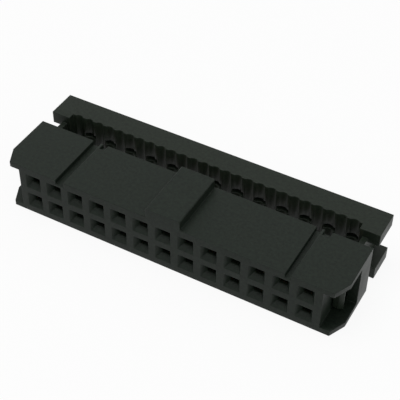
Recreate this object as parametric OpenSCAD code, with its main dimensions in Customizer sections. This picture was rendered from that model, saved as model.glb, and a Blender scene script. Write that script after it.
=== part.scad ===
// Two-row insulation-displacement socket connector for flat ribbon cable, cover bar open.
// X runs along the connector, +Y points from the mating face to the cable, +Z is the key side.
// Each module works in connector coordinates, with Y = 0 on the mating face and Z = 0 midway
// between the rows, and in_frame() puts it on the resting surface with the origin below its middle.

/* [Contact grid] */
// Number of contact columns along the connector
columns = 13; // [5:1:28]
// Distance between neighbouring contacts, along the connector and between the rows
pitch = 2.54; // [2.5:0.01:2.7]

/* [Housing] */
// Height of the housing across the two rows, without the key
body_h = 6.0; // [5.8:0.1:7]
// Depth of the housing from the mating face to the cable face
body_d = 7.0; // [6.4:0.1:8]
// Plastic beyond the middle of the last column, up to the end channel
grid_margin = 1.69; // [1.2:0.01:2.5]
// Thickness of the plates above and below each end channel
plate_t = 0.65; // [0.5:0.05:0.8]
// Thickness of the bridge that closes each end channel
bridge_t = 1.1; // [0.8:0.05:1.4]
// Depth of the bridge, measured from the cable face
bridge_d = 2.55; // [1.8:0.05:3]
// How far the front corners of the end plates are cut back along the connector
corner_in = 0.85; // [0.3:0.05:1.2]
// How far the same corners are cut back in depth
corner_back = 1.8; // [0.5:0.1:2.5]

/* [Polarising] */
// Width of the key in the middle of the upper face
key_w = 3.85; // [3:0.05:4.5]
// Height of the key above the upper face
key_h = 1.1; // [0.6:0.1:1.5]
// Chamfer along the two upper edges of the key
key_chamfer = 0.12; // [0.05:0.01:0.3]
// Width of the groove near the far end
far_groove_w = 0.92; // [0.6:0.02:1.2]
// Width of the groove near the end with contact 1
first_groove_w = 0.6; // [0.4:0.02:1.2]
// Depth of the grooves
groove_depth = 0.55; // [0.3:0.05:0.65]
// How far a groove's outer wall lies from the middle between its two columns
groove_shift = 0.95; // [0.6:0.01:1.1]
// Columns between the far end and its groove
far_end_columns = 2; // [1:1:2]
// Columns between the end with contact 1 and its groove
first_end_columns = 1; // [1:1:2]
// Width of the notch beside that far groove, at the cable edge
far_notch_w = 0.6; // [0.4:0.02:0.9]
// Width of the notch beside the groove near contact 1
first_notch_w = 0.82; // [0.4:0.02:1]
// Depth of the notches from the cable edge
notch_d = 0.75; // [0.4:0.05:0.9]
// Plastic left between a groove and its notch
notch_wall = 0.25; // [0.2:0.01:0.5]

/* [Cavities] */
// Side of the square mouth of a cavity
mouth_w = 1.75; // [1.4:0.05:2]
// Side of the square hole that the pin passes
entry_w = 0.92; // [0.8:0.02:1.1]
// Depth of the sloping lead-in from mouth to hole
lead_in = 0.65; // [0.4:0.05:0.85]
// Thickness of the wall behind the mating face
face_wall = 1.0; // [0.9:0.05:1.3]
// Side of the square chamber that holds a contact
chamber_w = 1.6; // [1.5:0.02:1.7]

/* [Contacts] */
// Thickness of the metal strip
strip_t = 0.25; // [0.2:0.01:0.3]
// Running clearance of a contact in its chamber
contact_gap = 0.05; // [0.02:0.01:0.08]
// Distance between the two spring beams where they grip the pin
grip_gap = 0.42; // [0.3:0.02:0.5]
// Distance between the two plates at the root of the beams
box_gap = 0.8; // [0.7:0.02:0.9]
// Radius of the bend at the grip, on the middle of the strip
grip_radius = 0.45; // [0.3:0.05:0.6]
// Depth of the grip behind the mating face
grip_depth = 1.95; // [1.8:0.05:2.4]
// Width of a beam at its tip
beam_tip_w = 0.8; // [0.6:0.05:1]
// Length of the plates behind the beams, up to the shoulder
box_l = 1.5; // [1.2:0.1:1.8]
// Length of a barb
barb_l = 0.5; // [0.3:0.05:0.6]
// Depth of the shoulder under the housing's cable face
shoulder_d = 1.6; // [1.2:0.1:1.8]
// Width over the two prongs of the fork
fork_w = 1.0; // [0.8:0.05:1.1]
// Width of the slot that grips the wire
fork_slot = 0.24; // [0.16:0.02:0.3]
// How far the prongs stand out of the cable face
fork_reach = 1.3; // [1:0.05:1.4]
// Depth of the slot below the cable face
slot_below = 0.4; // [0.2:0.05:0.6]
// Length of the V that leads the wire into the slot
fork_lead = 0.6; // [0.4:0.05:0.8]

/* [Cover] */
// Depth of the cover bar
cover_d = 3.35; // [2.8:0.05:4.5]
// Distance from the housing to the open cover
open_gap = 1.8; // [1.5:0.05:2.2]
// Distance that is left when the cover is pressed home
closed_gap = 0.05; // [0.02:0.01:0.1]
// How much shorter than the housing the cover is at each end
cover_inset = 0; // [0:0.02:0.2]
// Depth of the bed for the cable between the cover's two ends
bed_d = 0.75; // [0.3:0.05:0.9]
// Room beside the outer wires of the cable
bed_margin = 0.15; // [0.05:0.05:0.45]
// Radius of the grooves that take the wires
wire_radius = 0.6; // [0.45:0.01:0.7]
// Depth of those grooves
wire_groove_d = 0.2; // [0.1:0.05:0.4]
// Thickness of the cover's end flanges above and below the leg
flange_t = 1.45; // [0.9:0.05:1.6]
// Thickness of a leg
leg_t = 0.6; // [0.5:0.05:0.9]
// Clearance on each side of a leg in its channel
slide_gap = 0.1; // [0.08:0.01:0.2]
// Clearance above and below a leg
leg_side_gap = 0.25; // [0.1:0.05:0.5]
// How far the hook at the leg's end stands out
hook_out = 0.4; // [0.2:0.05:0.7]
// Length of the hook along the leg
hook_l = 1.75; // [1.2:0.05:2]
// Length of the slope at the hook's tip
hook_slope = 0.35; // [0.1:0.05:0.6]
// Length of the hook's flat outer side
hook_flat = 0.1; // [0.05:0.05:0.4]
// Chamfer above and below the tip of a leg
tip_chamfer = 0.2; // [0.05:0.05:0.4]
// Gap between the hook and the bridge with the cover open
hook_gap = 0.1; // [0.05:0.01:0.3]
// Clearance round a fork in its slot in the cover
fork_room = 0.15; // [0.1:0.01:0.2]

/* [Hidden] */
$fn = 32;
// Overlap of a cutter past the face that it cuts, and of two joined solids
lap = 0.5;
contacts = 2 * columns;
wire_pitch = pitch / 2;
overall_d = body_d + open_gap + cover_d;
face_z = body_h / 2;
last_x = (columns - 1) / 2 * pitch;
block_x = last_x + grid_margin;
leg_in = block_x + slide_gap;
leg_out = leg_in + leg_t;
bridge_in = leg_out + slide_gap;
end_x = bridge_in + bridge_t;
bridge_y = body_d - bridge_d;
far_groove_x = -last_x + (far_end_columns - 0.5) * pitch - groove_shift;
first_groove_x = last_x - (first_end_columns - 0.5) * pitch - groove_shift;
cover_y = body_d + open_gap;
cover_back = cover_y + cover_d;
bed_y = cover_y + bed_d;
wire_y = bed_y + wire_groove_d - wire_radius;
bed_x = contacts / 2 * wire_pitch + bed_margin;
travel = open_gap - closed_gap;
hook_y = bridge_y - hook_gap;
leg_tip = hook_y - hook_l;
leg_z = face_z - plate_t - leg_side_gap;
// The plate of the contact that carries the fork lies on the inner side of the chamber
box_w = chamber_w - 2 * contact_gap;
plate_z = box_gap / 2 + strip_t / 2;
shoulder_y = body_d - shoulder_d;
root_y = shoulder_y - box_l;
fork_x = wire_pitch / 2;
fork_tip = body_d + fork_reach;
plastic = [0.18, 0.2, 0.18];
metal = [0.78, 0.62, 0.36];

function contact_name(i) = str("contact_", i < 10 ? "0" : "", i);
// Odd contacts are in the upper row, and the count starts at the +X end
function in_upper_row(i) = i % 2 == 1;
function contact_x(i) = last_x - (ceil(i / 2) - 1) * pitch;
function contact_z(i) = (in_upper_row(i) ? 1 : -1) * pitch / 2;

// Helpers that place and repeat
module in_frame() translate([0, -overall_d / 2, face_z]) children();
module both_ends() { children(); mirror([1, 0, 0]) children(); }
module both_faces() { children(); mirror([0, 0, 1]) children(); }
module at_contact(i)
    translate([contact_x(i), 0, contact_z(i)])
        rotate([0, in_upper_row(i) ? 0 : 180, 0]) children();

// Solids drawn as a plan in X and Y, or as a side view in Y and Z
module plan(z0, z1) translate([0, 0, z0]) linear_extrude(z1 - z0) children();
module side_view(x0, x1)
    translate([x0, 0, 0]) rotate([90, 0, 90]) linear_extrude(x1 - x0) children();
module span(x0, x1, y0, y1) translate([x0, y0]) square([x1 - x0, y1 - y0]);

// Half the square section of a cavity against depth: lead-in, pin hole and chamber
function cavity_half() = [
    [mouth_w / 2, -lap], [mouth_w / 2, 0], [entry_w / 2, lead_in],
    [entry_w / 2, face_wall], [chamber_w / 2, face_wall], [chamber_w / 2, body_d + lap]
];
function mirrored(half) = [for (i = [len(half) - 1 : -1 : 0]) [-half[i].x, half[i].y]];
function swapped(points) = [for (p = points) [p.y, p.x]];

module cavity() {
    outline = concat(cavity_half(), mirrored(cavity_half()));
    intersection() {
        plan(-mouth_w, mouth_w) polygon(outline);
        side_view(-mouth_w, mouth_w) polygon(swapped(outline));
    }
    plan(-plate_z - strip_t / 2 - contact_gap, -plate_z + strip_t / 2 + contact_gap)
        span(0, fork_x + fork_w / 2 + contact_gap, shoulder_y, body_d + lap);
}

// One flat end plate over the whole length, with both front corners cut back
module plate_outline() {
    half = [[end_x - corner_in, 0], [end_x, corner_back], [end_x, body_d]];
    polygon(concat(half, mirrored(half)));
}

module key() {
    half = [
        [key_w / 2, face_z - lap], [key_w / 2, face_z + key_h - key_chamfer],
        [key_w / 2 - key_chamfer, face_z + key_h]
    ];
    translate([0, body_d, 0]) rotate([90, 0, 0])
        linear_extrude(body_d) polygon(concat(half, mirrored(half)));
}

// A groove across the upper face from x on, with the notch at the cable edge beside it
module groove(x, groove_w, notch_w) {
    notch_x = x + groove_w + notch_wall;
    plan(face_z - groove_depth, face_z + lap) {
        span(x, x + groove_w, -lap, body_d + lap);
        span(notch_x, notch_x + notch_w, body_d - notch_d, body_d + lap);
    }
}

module housing() {
    color(plastic) in_frame() difference() {
        union() {
            plan(-face_z, face_z) span(-block_x, block_x, 0, body_d);
            both_faces() plan(face_z - plate_t, face_z) plate_outline();
            both_ends() plan(-face_z, face_z) span(bridge_in, end_x, bridge_y, body_d);
            key();
        }
        for (i = [1 : contacts]) at_contact(i) cavity();
        groove(far_groove_x, far_groove_w, far_notch_w);
        groove(first_groove_x, first_groove_w, first_notch_w);
    }
}

// Front edge of the cover bar: a bed for the cable, scalloped by one groove for each wire
module cover_outline() {
    difference() {
        span(-leg_out, leg_out, cover_y, cover_back);
        span(-bed_x, bed_x, cover_y - lap, bed_y);
        for (i = [1 : contacts])
            translate([(i - (contacts + 1) / 2) * wire_pitch, wire_y]) circle(wire_radius);
    }
}

// Leg that slides in the end channel, and its hook that stops behind the bridge
module leg_outline() {
    polygon([
        [leg_in, leg_tip], [leg_out, leg_tip], [leg_out + hook_out, leg_tip + hook_slope],
        [leg_out + hook_out, leg_tip + hook_slope + hook_flat], [leg_out, hook_y],
        [leg_out, cover_y + lap], [leg_in, cover_y + lap]
    ]);
}

module leg() {
    half = [
        [leg_z - tip_chamfer, leg_tip], [leg_z, leg_tip + tip_chamfer],
        [leg_z, cover_y + lap]
    ];
    intersection() {
        plan(-leg_z, leg_z) leg_outline();
        side_view(0, end_x) polygon(swapped(concat(half, mirrored(half))));
    }
}

// Slot that a fork enters when the cover is pressed home
module fork_slot_cut() {
    deepest = fork_tip + travel + fork_room;
    side = fork_w / 2 + fork_room;
    plan(-plate_z - strip_t / 2 - fork_room, -plate_z + strip_t / 2 + fork_room)
        span(fork_x - side, fork_x + side, cover_y - lap, deepest);
}

module cover() {
    color(plastic) in_frame() {
        difference() {
            union() {
                plan(-face_z, face_z) cover_outline();
                both_ends() both_faces() plan(face_z - flange_t, face_z)
                    span(leg_out - lap, end_x - cover_inset, cover_y, cover_back);
            }
            for (i = [1 : contacts]) at_contact(i) fork_slot_cut();
        }
        both_ends() leg();
    }
}

// Outline of a strip of even thickness along a path
function normal(path, i) = let (d = path[i + 1] - path[i]) [-d.y, d.x] / norm(d);
function offset_at(path, i) =
    let (
        before = normal(path, max(i - 1, 0)),
        after = normal(path, min(i, len(path) - 2)),
        middle = (before + after) / norm(before + after)
    ) middle / (middle * before);
function strip_outline(path, t) = concat(
    [for (i = [0 : len(path) - 1]) path[i] + offset_at(path, i) * t / 2],
    [for (i = [len(path) - 1 : -1 : 0]) path[i] - offset_at(path, i) * t / 2]
);

// Middle line of a spring beam in Y and Z, from its flared tip over the grip to the root
grip_z = grip_gap / 2 + strip_t / 2;
flare_angle = 45;
root_angle = atan2(plate_z - grip_z, root_y - grip_depth);
flare_l = 0.15;
grip_steps = 8;
beam_path = let (
    bend = [for (s = [0 : grip_steps])
        let (a = -90 - flare_angle + (flare_angle + root_angle) * s / grip_steps)
        [grip_depth, grip_z + grip_radius] + grip_radius * [cos(a), sin(a)]]
) concat(
    [bend[0] + flare_l * [-cos(flare_angle), sin(flare_angle)]],
    bend,
    [[root_y, plate_z], [root_y + lap, plate_z]]
);

// Tapered beams: side view of the bent strip, cut to its width in plan
module beams() {
    half = [[beam_tip_w / 2, 0], [box_w / 2, root_y], [box_w / 2, shoulder_y]];
    intersection() {
        both_faces() side_view(-box_w, box_w) polygon(strip_outline(beam_path, strip_t));
        plan(-chamber_w, chamber_w) polygon(concat(half, mirrored(half)));
    }
}

// Box behind the beams: two plates joined by a web on one side, open on the other
module contact_box() {
    both_faces() plan(plate_z - strip_t / 2, plate_z + strip_t / 2)
        span(-box_w / 2, box_w / 2, root_y, shoulder_y);
    plan(-plate_z, plate_z) span(-box_w / 2, strip_t - box_w / 2, root_y, shoulder_y);
}

// Barbs that bite the chamber's side walls
module barbs() {
    both_ends() polygon([
        [box_w / 2, shoulder_y - 2 * barb_l], [chamber_w / 2, shoulder_y - barb_l],
        [box_w / 2, shoulder_y - barb_l]
    ]);
}

// Fork in the plane of the inner plate, moved sideways to the middle of its wire
module fork_outline() {
    tip_half = 0.7 * fork_w / 2;
    slot_end = body_d - slot_below;
    difference() {
        polygon([
            [-box_w / 2, shoulder_y - lap], [box_w / 2, shoulder_y - lap],
            [box_w / 2, shoulder_y], [fork_x + fork_w / 2, shoulder_y],
            [fork_x + fork_w / 2, fork_tip - fork_lead / 2], [fork_x + tip_half, fork_tip],
            [fork_x - tip_half, fork_tip], [fork_x - fork_w / 2, fork_tip - fork_lead / 2],
            [fork_x - fork_w / 2, body_d - slot_below], [-box_w / 2, shoulder_y + lap]
        ]);
        span(fork_x - fork_slot / 2, fork_x + fork_slot / 2, slot_end, fork_tip + lap);
        translate([fork_x, slot_end]) circle(fork_slot / 2);
        polygon([
            [fork_x - tip_half, fork_tip], [fork_x, fork_tip - fork_lead],
            [fork_x + tip_half, fork_tip]
        ]);
    }
}

module contact(i) {
    color(metal) in_frame() at_contact(i) {
        beams();
        contact_box();
        plan(-plate_z - strip_t / 2, -plate_z + strip_t / 2) {
            barbs();
            fork_outline();
        }
    }
}

housing();
cover();
for (i = [1 : contacts]) contact(i);
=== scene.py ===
# %% [markdown]
# # A socket connector for flat ribbon cable
#
# The object is a two-row socket, about 37 mm long, moulded in black polyester. Its housing has 26
# square holes for the pins of a header, a key and two grooves that keep a header from being pushed
# in the wrong way round, and 26 stamped contacts inside. Its cover bar stands open on two legs: a
# cable is laid between the two, and the cover is pressed home until every wire sits in a fork.
#
# The shapes were made as exact solids, and this lesson dresses them: it rounds the corners as the
# mould does, gives each material its finish, and sets up a small photo studio round the part.

import math

import bpy
from mathutils import Matrix, Vector


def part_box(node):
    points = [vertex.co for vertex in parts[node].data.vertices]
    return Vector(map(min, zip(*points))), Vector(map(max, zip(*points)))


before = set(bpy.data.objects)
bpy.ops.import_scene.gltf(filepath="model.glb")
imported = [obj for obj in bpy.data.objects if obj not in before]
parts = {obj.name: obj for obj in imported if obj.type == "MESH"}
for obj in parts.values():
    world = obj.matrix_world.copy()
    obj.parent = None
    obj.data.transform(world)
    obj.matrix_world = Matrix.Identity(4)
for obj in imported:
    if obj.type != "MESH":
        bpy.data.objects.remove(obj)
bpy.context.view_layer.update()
contacts = sorted(name for name in parts if name.startswith("contact_"))

# %% [markdown]
# ## Units
#
# Blender counts in metres, and this connector is measured in millimetres. The scene's unit setting
# would only change what the panels show, not what a script has to write. One named factor does the
# work instead and keeps the sizes below readable: 0.06 * MM is a radius that a mould leaves.

# %% One millimetre, and the two faces that the plating is measured from
MM = 0.001
housing_low, housing_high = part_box("housing")
mating_face = housing_low.y
cable_face = housing_high.y
print("housing, mm:", [round(side / MM, 2) for side in housing_high - housing_low])

# %% [markdown]
# ## The camera
#
# A product photo of a small part is taken from close by with a long lens, here from about 11 cm
# away. A camera can be dragged about until the picture looks right, but small errors hide in the
# zoom. This one was worked out from the grid of holes: their spacing is known, so only one place,
# direction and focal length puts all 26 of them where the photo has them. The camera is turned by
# azimuth and elevation, and then rolled a little, because it was held not quite level.

# %% Camera at the photo's viewing angle
CAMERA_PLACE = Vector((37.674, -67.602, 78.044)) * MM
AZIMUTH = math.radians(28.637)
ELEVATION = math.radians(43.696)
ROLL = math.radians(0.723)
FOCAL_LENGTH = 96.0
SENSOR_WIDTH = 36
NEAREST_SEEN = 5 * MM

forward = Vector((
    -math.sin(AZIMUTH) * math.cos(ELEVATION),
    math.cos(AZIMUTH) * math.cos(ELEVATION),
    -math.sin(ELEVATION),
))
level = Vector((math.cos(AZIMUTH), math.sin(AZIMUTH), 0))
upright = level.cross(forward)
right = math.cos(ROLL) * level + math.sin(ROLL) * upright
up = math.cos(ROLL) * upright - math.sin(ROLL) * level

lens = bpy.data.cameras.new("product_camera")
lens.lens = FOCAL_LENGTH
lens.sensor_width = SENSOR_WIDTH
lens.clip_start = NEAREST_SEEN
camera = bpy.data.objects.new("product_camera", lens)
turn = Matrix((right, up, -forward)).transposed().to_4x4()
camera.matrix_world = Matrix.Translation(CAMERA_PLACE) @ turn
bpy.context.collection.objects.link(camera)
bpy.context.scene.camera = camera
print("camera stands", round(CAMERA_PLACE.length / MM), "mm from the part")

# %% [markdown]
# ## Corners that a mould can make
#
# No moulded corner is perfectly sharp. The steel leaves a radius of a few hundredths of a
# millimetre, and that narrow round is what catches the light and draws a thin bright line along
# the edges of a black part. A Bevel node in the material could fake it, but it only bends the
# light. Modifiers make real rounds, and they leave the meshes of the solids as they are.
#
# Weld joins the points that the file keeps apart. Decimate clears away the triangles that flat
# faces were cut into, because a bevel needs whole faces: it folds the tip of a long thin triangle
# over its neighbour. Bevel rounds each corner that is sharper than 30 degrees. Where two rounds
# leave no room between them it puts points in one place, and a second Weld joins those. Triangulate
# splits the large faces evenly again, and Weighted Normal lets the large faces decide the shading,
# so they stay flat and only the narrow rounds turn.

# %% Round the corners of a solid
MOULD_RADIUS = 0.06 * MM
SAME_POINT = 0.001 * MM
FLAT_WITHIN = math.radians(0.5)
SHARP_CORNER = math.radians(30)
ROUND_STEPS = 2
LARGE_FACES_ONLY = 100


def round_corners(piece):
    join = piece.modifiers.new("join points", "WELD")
    join.merge_threshold = SAME_POINT
    whole = piece.modifiers.new("whole flat faces", "DECIMATE")
    whole.decimate_type = "DISSOLVE"
    whole.angle_limit = FLAT_WITHIN
    corner = piece.modifiers.new("mould radius", "BEVEL")
    corner.width = MOULD_RADIUS
    corner.segments = ROUND_STEPS
    corner.limit_method = "ANGLE"
    corner.angle_limit = SHARP_CORNER
    leftover = piece.modifiers.new("join what the rounds left", "WELD")
    leftover.merge_threshold = SAME_POINT
    split = piece.modifiers.new("even triangles", "TRIANGULATE")
    split.ngon_method = "BEAUTY"
    shading = piece.modifiers.new("flat faces stay flat", "WEIGHTED_NORMAL")
    shading.mode = "FACE_AREA"
    shading.weight = LARGE_FACES_ONLY


for name in ("housing", "cover"):
    round_corners(parts[name])
print("mould radius, mm:", MOULD_RADIUS / MM)

# %% [markdown]
# ## Two helpers for shader nodes
#
# A finish that several materials share is best kept as a node group: a small machine with named
# inputs and outputs. In the shader editor its nodes are placed and wired by hand. In a script, two
# helpers keep each of them to a line. The first opens a group. The second adds one node and fills
# its inputs, either with a value or with a wire from another node.

# %% Start a node group, and add a node
def new_group(title, inputs, outputs):
    group = bpy.data.node_groups.new(title, "ShaderNodeTree")
    for label, kind, value in inputs:
        socket = group.interface.new_socket(label, in_out="INPUT", socket_type="NodeSocket" + kind)
        socket.default_value = value
    for label, kind in outputs:
        group.interface.new_socket(label, in_out="OUTPUT", socket_type="NodeSocket" + kind)
    start = group.nodes.new("NodeGroupInput")
    end = group.nodes.new("NodeGroupOutput")
    return group, start.outputs, end.inputs


def add_node(tree, kind, inputs=(), **settings):
    node = tree.nodes.new("ShaderNode" + kind)
    for name, value in settings.items():
        setattr(node, name, value)
    for socket, value in dict(inputs).items():
        if isinstance(value, bpy.types.NodeSocket):
            tree.links.new(value, node.inputs[socket])
        else:
            node.inputs[socket].default_value = value
    return node


print("node helpers:", new_group.__name__, "and", add_node.__name__)

# %% [markdown]
# A Mix node keeps sockets for numbers, vectors and colours side by side, and they share their
# names. This helper picks the colour ones, so that a mix of two colours stays one line.

# %% Mix two colours by a mask
def mix_colours(tree, mask, first, second):
    node = add_node(tree, "Mix", {"Factor": mask}, data_type="RGBA")
    colour_inputs = [socket for socket in node.inputs if socket.type == "RGBA"]
    for socket, value in zip(colour_inputs, (first, second)):
        if isinstance(value, bpy.types.NodeSocket):
            tree.links.new(value, socket)
        else:
            socket.default_value = value
    return next(socket for socket in node.outputs if socket.type == "RGBA")


print("colour helper:", mix_colours.__name__)

# %% [markdown]
# ## The skin of a spark-eroded mould
#
# The plastic is satin, not shiny: the cavity of the mould was eroded by sparks, which leaves a
# field of tiny craters, and the plastic copies them. A photograph of such a skin could be wrapped
# round the part, but noise needs no file, has no seams and stays fine however close one looks.
#
# Two noises make the skin. A fine one is the craters, and a slower one changes how deep they are
# from place to place. The group puts out a height for a Bump node and a roughness, so that housing
# and cover can share it at their own values. A noise rarely leaves the middle of its range, so the
# Map Range node stretches that middle over the whole roughness.

# %% The spark-eroded skin
CRATERS_PER_METRE = 9000.0
DEPTHS_PER_METRE = 420.0
NOISE_LOW = 0.3
NOISE_HIGH = 0.7

skin, given, made = new_group(
    "spark eroded skin",
    [("Grain Scale", "Float", CRATERS_PER_METRE), ("Smoothest", "Float", 0.4), ("Roughest", "Float", 0.5)],
    [("Roughness", "Float"), ("Height", "Float")],
)
place = add_node(skin, "TexCoord").outputs["Object"]
craters = add_node(skin, "TexNoise", {"Vector": place, "Scale": given["Grain Scale"], "Detail": 2.0})
depth = add_node(skin, "TexNoise", {"Vector": place, "Scale": DEPTHS_PER_METRE, "Detail": 3.0})
spread = add_node(skin, "MapRange", {
    "Value": depth.outputs["Fac"], "From Min": NOISE_LOW, "From Max": NOISE_HIGH,
    "To Min": given["Smoothest"], "To Max": given["Roughest"],
})
relief = add_node(
    skin, "Math", {0: craters.outputs["Fac"], 1: depth.outputs["Fac"]}, operation="MULTIPLY")
skin.links.new(spread.outputs["Result"], made["Roughness"])
skin.links.new(relief.outputs["Value"], made["Height"])
print("skin group:", len(skin.nodes), "nodes, craters", round(1 / CRATERS_PER_METRE / MM, 2), "mm wide")

# %% [markdown]
# ## The tone of the plastic
#
# Black plastic is never one flat black. Glass fibres and carbon black are mixed into the polyester,
# and where fibres lie close to the skin the surface is a touch greyer. One flat colour would look
# like paint. A noise makes that mottle, with patches of about a third of a millimetre, and its
# middle is widened as in the skin. It mixes a deep black with a slightly greyer one.

# %% The fine mottle of tone
PATCHES_PER_METRE = 3000.0
MOTTLE_LOW = 0.36
MOTTLE_HIGH = 0.64

tone, given, made = new_group(
    "melt tone",
    [("Deep", "Color", (0.006, 0.007, 0.006, 1)), ("Grey", "Color", (0.01, 0.012, 0.01, 1)),
     ("Patch Scale", "Float", PATCHES_PER_METRE)],
    [("Color", "Color")],
)
place = add_node(tone, "TexCoord").outputs["Object"]
patches = add_node(tone, "TexNoise", {
    "Vector": place, "Scale": given["Patch Scale"], "Detail": 4.0, "Roughness": 0.7,
})
mottle = add_node(tone, "MapRange", {
    "Value": patches.outputs["Fac"], "From Min": MOTTLE_LOW, "From Max": MOTTLE_HIGH,
})
blend = mix_colours(tone, mottle.outputs["Result"], given["Deep"], given["Grey"])
tone.links.new(blend, made["Color"])
print("tone group:", len(tone.nodes), "nodes, patches", round(1 / PATCHES_PER_METRE / MM, 2), "mm wide")

# %% [markdown]
# ## From groups to a material
#
# A material starts as a Principled BSDF, the shader that covers most real surfaces. Each group is
# placed in it as one node with its own values, and its outputs are wired to the shader's sockets.
# What is the same all over, such as the strength of the gloss, is set on the socket itself: a wire
# there would say nothing more, and a file made for another program can lose it.

# %% A new material, a placed group, and a piece that takes the material
def new_material(title):
    material = bpy.data.materials.new(title)
    material.use_nodes = True
    tree = material.node_tree
    return material, tree, tree.nodes["Principled BSDF"]


def place_group(tree, group, values):
    node = tree.nodes.new("ShaderNodeGroup")
    node.node_tree = group
    for label, value in values.items():
        node.inputs[label].default_value = value
    return node


def paint(piece, material):
    piece.material_slots[0].material = material


print("material helpers:", new_material.__name__, place_group.__name__, paint.__name__)

# %% [markdown]
# ## The two black mouldings
#
# Housing and cover are moulded from the same polyester, in two moulds. So they share both groups,
# and the cover's gloss is a little stronger. Its black is a little lighter as well, and that is
# painted light: a lighter copy of the same black stands in for the extra light that falls on the
# cover's top. The greens are a touch above the reds and blues, as on the real part. Two materials
# that were built apart could give the same look, but a later change to the skin would then have to
# be made twice.

# %% The black polyester of housing and cover
SMOOTHEST = 0.41
ROUGHEST = 0.48
CRATER_DEPTH = 0.004 * MM


def moulded_plastic(title, deep, grey, gloss):
    material, tree, surface = new_material(title)
    colour = place_group(tree, tone, {"Deep": deep, "Grey": grey})
    finish = place_group(tree, skin, {"Smoothest": SMOOTHEST, "Roughest": ROUGHEST})
    bump = add_node(
        tree, "Bump",
        {"Height": finish.outputs["Height"], "Strength": 0.3, "Distance": CRATER_DEPTH})
    tree.links.new(colour.outputs["Color"], surface.inputs["Base Color"])
    tree.links.new(finish.outputs["Roughness"], surface.inputs["Roughness"])
    tree.links.new(bump.outputs["Normal"], surface.inputs["Normal"])
    surface.inputs["Specular IOR Level"].default_value = gloss
    return material


housing_black = moulded_plastic(
    "housing polyester", deep=(0.0048, 0.0076, 0.0052, 1), grey=(0.0098, 0.0152, 0.0104, 1), gloss=0.14)
# The cover's lighter deep and grey are painted light: a lighter copy of the housing's black for the extra
# light on the cover's top.
cover_black = moulded_plastic(
    "cover polyester", deep=(0.0054, 0.0084, 0.0052, 1), grey=(0.0108, 0.0164, 0.0104, 1), gloss=0.16)
paint(parts["housing"], housing_black)
paint(parts["cover"], cover_black)
print("plastics:", housing_black.name, "and", cover_black.name)

# %% [markdown]
# ## The plated contacts
#
# Each contact is stamped from rolled bronze strip. The rollers leave fine lines along the strip,
# and the plating bath gives the two spring beams a thin layer of gold, which keeps their grip
# clean. The forks cut through a wire's sleeve and grip its copper hard, so they get no more than a
# flash, and the warm bronze shows through.
#
# Gold and bronze could be two materials on chosen faces, but then they would meet at a hard line.
# They meet in the middle of the contact, so one material can change with depth alone, over a
# narrow band between the mating face and the cable face. The lines are a noise that is stretched
# along the strip.

# %% Plating by depth, and the lines that the rollers left
GOLD = (0.83, 0.58, 0.27, 1)
PALE_GOLD = (0.9, 0.68, 0.38, 1)
BRONZE = (0.66, 0.42, 0.27, 1)
BEHIND_MIDDLE = 1.0 * MM
HALF_BAND = 0.2 * MM
LINES_PER_METRE = (9000.0, 300.0, 9000.0)
LINE_DEPTH = 0.002 * MM

metal, tree, surface = new_material("plated bronze")
place = add_node(tree, "TexCoord").outputs["Object"]
along = add_node(tree, "SeparateXYZ", {"Vector": place}).outputs["Y"]
meeting = (mating_face + cable_face) / 2 + BEHIND_MIDDLE
bath = add_node(tree, "MapRange", {
    "Value": along, "From Min": meeting - HALF_BAND, "From Max": meeting + HALF_BAND,
})
stretched = add_node(tree, "Mapping", {"Vector": place, "Scale": LINES_PER_METRE})
lines = add_node(tree, "TexNoise", {"Vector": stretched.outputs["Vector"], "Scale": 1.0, "Detail": 3.0})
gilt = mix_colours(tree, lines.outputs["Fac"], GOLD, PALE_GOLD)
plating = mix_colours(tree, bath.outputs["Result"], gilt, BRONZE)
dullness = add_node(tree, "MapRange", {
    "Value": lines.outputs["Fac"], "From Min": NOISE_LOW, "From Max": NOISE_HIGH,
    "To Min": 0.28, "To Max": 0.45,
})
scratch = add_node(
    tree, "Bump", {"Height": lines.outputs["Fac"], "Strength": 0.25, "Distance": LINE_DEPTH})
tree.links.new(plating, surface.inputs["Base Color"])
tree.links.new(dullness.outputs["Result"], surface.inputs["Roughness"])
tree.links.new(scratch.outputs["Normal"], surface.inputs["Normal"])
surface.inputs["Metallic"].default_value = 1.0
for name in contacts:
    paint(parts[name], metal)
print("gold meets bronze", round((meeting - mating_face) / MM, 2), "mm behind the mating face")

# %% [markdown]
# ## A white table
#
# The part stands on white card in a bright studio, and the card comes out white in the photo. More
# light would do that too, but it would turn the black part grey. In the shader one mask does it:
# rays from the camera and from gloss see a card that is nine tenths plain shine and one tenth real
# card, so a faint soft shadow stays beside the part. All other rays see only the real card, which
# throws its light up at the part from below.

# %% Rays that look straight at the surroundings
def seen_directly(tree):
    path = add_node(tree, "LightPath").outputs
    mirrored = add_node(
        tree, "Math", {0: path["Is Camera Ray"], 1: path["Is Glossy Ray"]}, operation="MAXIMUM")
    whole = add_node(
        tree, "Math", {0: mirrored.outputs[0], 1: path["Is Transmission Ray"]}, operation="MAXIMUM")
    return whole.outputs[0]


print("mask helper:", seen_directly.__name__)

# %% The table
TABLE_SIDE = 3.0
TABLE_SHINE = 0.9
BELOW_PART = -0.01 * MM
CARD_WHITE = (0.8, 0.8, 0.8, 1)
WHITE = (1, 1, 1, 1)

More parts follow.
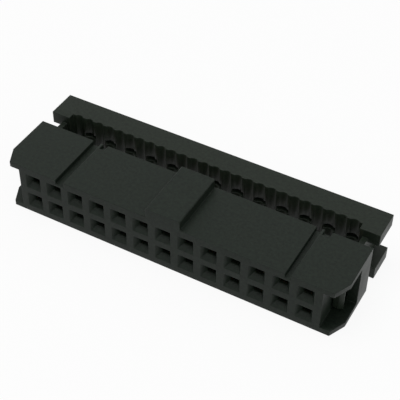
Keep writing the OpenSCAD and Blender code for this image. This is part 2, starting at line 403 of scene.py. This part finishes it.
bpy.ops.mesh.primitive_plane_add(size=TABLE_SIDE, location=(0, 0, BELOW_PART))
table = bpy.context.object
table.name = "white_table"
card, tree, surface = new_material("white card")
surface.inputs["Base Color"].default_value = CARD_WHITE
surface.inputs["Roughness"].default_value = 0.9
surface.inputs["Specular IOR Level"].default_value = 0.1
shine = add_node(tree, "Emission", {"Color": WHITE, "Strength": 1.0})
share = add_node(tree, "Math", {0: seen_directly(tree), 1: TABLE_SHINE}, operation="MULTIPLY")
sheet = add_node(tree, "MixShader", {0: share.outputs[0]})
tree.links.new(surface.outputs[0], sheet.inputs[1])
tree.links.new(shine.outputs[0], sheet.inputs[2])
tree.links.new(sheet.outputs[0], tree.nodes["Material Output"].inputs["Surface"])
table.data.materials.append(card)
print("table:", TABLE_SIDE, "m wide")

# %% [markdown]
# ## The room
#
# The room is a white tent. It gives an even light from all sides, at about half the strength that
# gloss and the camera see, and the lamps give the rest. A picture of a real studio could stand
# round the part instead, but a room this plain needs none. Black plastic gives back hardly any
# light of its own: most of what the eye sees on it is the white room, mirrored softly. That is why
# the end faces, which the camera sees at a flat angle, look so much lighter than the top.

# %% The white tent
TENT_LIGHT = 0.45

world = bpy.data.worlds.new("white tent")
bpy.context.scene.world = world
world.use_nodes = True
tree = world.node_tree
sky = tree.nodes["Background"]
strength = add_node(tree, "MapRange", {"Value": seen_directly(tree), "To Min": TENT_LIGHT, "To Max": 1.0})
tree.links.new(strength.outputs[0], sky.inputs["Strength"])
sky.inputs["Color"].default_value = WHITE
print("tent light:", TENT_LIGHT)

# %% [markdown]
# ## The soft boxes
#
# A point or sun lamp would draw hard shadows. A soft box is an area lamp: its size against its
# distance sets how soft the shadows are. Three of them stand round the part. The one above gives
# the upper faces their light and a soft shade beside the key. The one in front, right of the
# camera, reaches into the holes and the cable gap. The weak one behind puts its sheen mostly on the
# right half of the top, so that the tone stays even from end to end.

# %% Three soft boxes
LAMP_DISTANCE = 0.5


def soft_box(name, direction, size, power):
    lamp = bpy.data.lights.new(name, "AREA")
    lamp.shape = "SQUARE"
    lamp.size = size
    lamp.energy = power
    holder = bpy.data.objects.new(name, lamp)
    toward = Vector(direction).normalized()
    holder.location = toward * LAMP_DISTANCE
    holder.rotation_euler = (-toward).to_track_quat("-Z", "Y").to_euler()
    bpy.context.collection.objects.link(holder)


soft_box("top_box", direction=(-0.2, -0.1, 0.97), size=0.35, power=1.2)
soft_box("front_box", direction=(0.55, -0.55, 0.63), size=0.3, power=0.5)
soft_box("back_box", direction=(0.15, 0.7, 0.7), size=0.2, power=0.1)
print("lamps, W:", {lamp.name: round(lamp.energy, 2) for lamp in bpy.data.lights})

# %% [markdown]
# ## The last settings
#
# The Standard view shows each colour as it was written, where the other views bend bright and dark
# tones as film does.

# %% The view
bpy.context.scene.view_settings.view_transform = "Standard"
